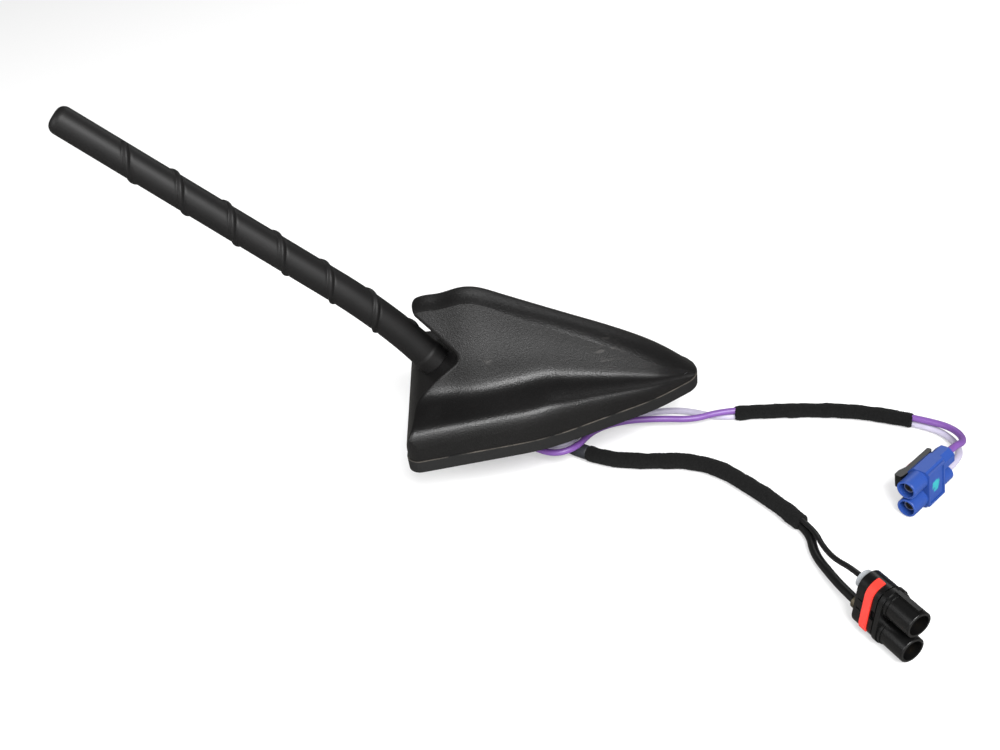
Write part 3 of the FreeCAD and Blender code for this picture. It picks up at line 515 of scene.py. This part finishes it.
# %% moulded cover plastic
# ABS moulded against a spark-eroded tool: a fine grain that spreads highlights.
# The grain of 0.35 mm is drawn at 0.6 mm, because finer would not show.
cover_plastic, tree, place = new_material("grained black ABS")
grain = noise(tree, place, size=0.6, detail=3.0, roughness=0.6)
cloud = noise(tree, place, size=18.0, detail=4.0)
# The scuffs lie where a hand or a brush has rubbed the flank, half way to the nose.
streak = add(tree, "ShaderNodeMapping", {"Vector": place, "Rotation": (0.0, 0.45, 0.0),
                                         "Scale": (0.35, 1.0, 1.6)}).outputs["Vector"]
flaw = between(tree, noise(tree, streak, size=2.2, detail=5.0), 0.54, 0.64)
front_scuff = near(tree, place, (12.5, -8.8, 24.5), reach=8.0)
back_scuff = near(tree, place, (-32.6, -14.2, 30.4), reach=3.0)
rubbed = combine(tree, "MULTIPLY", combine(tree, "MAXIMUM", front_scuff, back_scuff), flaw)
worn = blend(tree, rubbed, ramp(tree, cloud, "#0a0a0a", "#100f0f"), linear("#373533"))
surface(tree, {"Base Color": worn, "Roughness": between(tree, cloud, 0.0, 1.0, 0.33, 0.43),
               "Specular IOR Level": 0.52, "Normal": bumps(tree, grain, strength=0.9, depth=0.16)})
paint(cover_plastic, "cover")

# %% mast rubber
# Moulded rubber is duller than the cover, and its black varies in soft patches.
mast_rubber, tree, place = new_material("moulded black rubber")
grain = noise(tree, place, size=0.8, detail=4.0, roughness=0.65)
cloud = noise(tree, place, size=9.0, detail=3.0)
surface(tree, {"Base Color": ramp(tree, cloud, "#0e0e0e", "#161515"), "Roughness": 0.5,
               "Specular IOR Level": 0.26, "Normal": bumps(tree, grain, strength=0.3, depth=0.08)})
mast.data.materials.append(mast_rubber)

# %% rubber of the gasket and grommet
# The ledge at the seam holds a thin broken pale line, a painted highlight where its upper edge would catch
# the light.
ledge_from, ledge_to = 4.7 * MM, 4.95 * MM
seal_rubber, tree, place = new_material("matte seal rubber")
grain = noise(tree, place, size=0.7, detail=3.0)
height = add(tree, "ShaderNodeSeparateXYZ", {"Vector": place}).outputs["Z"]
broken = between(tree, noise(tree, place, size=7.0, detail=5.0), 0.38, 0.6)
painted_ledge_highlight = combine(tree, "MULTIPLY", broken, between(tree, height, ledge_from, ledge_to))
surface(tree, {"Base Color": blend(tree, painted_ledge_highlight, linear("#121212"), linear("#524d47")), "Roughness": 0.62,
               "Normal": bumps(tree, grain, strength=0.25, depth=0.08)})
paint(seal_rubber, "gasket", "cable_grommet")

# %% cable jackets
def one_colour(name, hex_colour, roughness, size, spread, strength, depth):
    """One colour that is lighter or darker by spread over lumps of one size, which are also its bumps."""
    material, tree, place = new_material(name)
    uneven = noise(tree, place, size, detail=2.0)
    value = between(tree, uneven, 0.0, 1.0, 1 - spread, 1 + spread)
    shade = add(tree, "ShaderNodeHueSaturation", {"Color": linear(hex_colour), "Value": value})
    surface(tree, {"Base Color": shade.outputs["Color"], "Roughness": roughness,
                   "Normal": bumps(tree, uneven, strength, depth)})
    return material


def jacket(name, hex_colour, roughness):
    """PVC jackets are extruded, so they are smooth, with a faint waviness of about 4 mm."""
    return one_colour(name, hex_colour, roughness, size=4.0, spread=0.12, strength=0.1, depth=0.2)


violet.data.materials.append(jacket("violet PVC jacket", "#6a448a", 0.38))
pale.data.materials.append(jacket("white PVC jacket", "#a5a0b2", 0.4))
black_jacket = jacket("black PVC jacket", "#0c0c0c", 0.42)
thick.data.materials.append(black_jacket)
thin.data.materials.append(black_jacket)
shrink.data.materials.append(jacket("dark grey shrink tube", "#24262a", 0.5))

# %% fleece tape
# Felt of matted polyester fibre: no gloss, a soft rim light, and fine flecks.
fleece, tree, place = new_material("polyester fleece tape")
fibre = noise(tree, place, size=0.9, detail=6.0, roughness=0.75)
surface(tree, {"Base Color": ramp(tree, fibre, "#020202", "#191919"), "Roughness": 0.95,
               "Specular IOR Level": 0.1, "Sheen Weight": 0.02, "Sheen Roughness": 0.6,
               "Normal": bumps(tree, fibre, strength=0.9, depth=0.5)})
black_sleeve.data.materials.append(fleece)
blue_sleeve.data.materials.append(fleece)

# %% connector plastics and other moulded pieces
def moulded(name, hex_colour, roughness):
    """Glass-filled nylon and the like has a satin skin with a fine grain of 0.5 mm."""
    return one_colour(name, hex_colour, roughness, size=0.5, spread=0.08, strength=0.15, depth=0.05)


# A dab of teal marking paint is brushed on the side plate of the blue housing.
blue_nylon, tree, place = new_material("blue nylon with a teal dab")
dab = near(tree, place, laid(blue, 6.2, 4.0, 7.4), reach=4.2)
ragged = combine(tree, "MULTIPLY", dab, noise(tree, place, size=1.6, detail=3.0))
painted = between(tree, ragged, 0.2, 0.28)
surface(tree, {"Base Color": blend(tree, painted, linear("#1f3f86"), linear("#1f8f96")), "Roughness": 0.4})
paint(blue_nylon, "blue_housing")
paint(moulded("black nylon", "#0b0b0b", 0.28), "black_housing", "blue_clip")
paint(moulded("red nylon", "#d63025", 0.38), "black_lock", "blue_clip_lock")
paint(moulded("black insulator", "#1d1d1f", 0.5), "blue_insulators")
paint(moulded("grey silicone seal", "#8b8f92", 0.55), "wire_seal")
paint(moulded("fired ceramic", "#cbbfa6", 0.6), "gps_patch")
paint(moulded("green solder mask", "#1f6b43", 0.4), "circuit_board")

# %% metals
def metal(name, hex_colour, roughness, spread=0.08):
    """Plated or drawn metal: the colour is in the reflection, and fine marks of 0.8 mm spread it."""
    material, tree, place = new_material(name)
    marks = noise(tree, place, size=0.8, detail=4.0)
    surface(tree, {"Base Color": linear(hex_colour), "Metallic": 1.0,
                   "Roughness": between(tree, marks, 0.0, 1.0, roughness - spread, roughness + spread),
                   "Normal": bumps(tree, marks, strength=0.1, depth=0.05)})
    return material


paint(metal("zinc-plated steel", "#c9c8c0", 0.35), "roof_stud", "cover_screws", "board_screws", "mast_stud")
paint(metal("die-cast aluminium", "#b4b5b6", 0.5), "base_plate")
paint(metal("tinned sheet", "#cfcfcc", 0.3), "shield_can", "phone_blade", "blue_shells")
paint(metal("drawn brass", "#d9b35f", 0.3), "mast_socket", "contact_spring", "blue_pins", "black_pins")
paint(metal("dull crimp brass", "#8b8371", 0.5), "crimp_ferrule")
print("materials:", len(bpy.data.materials))
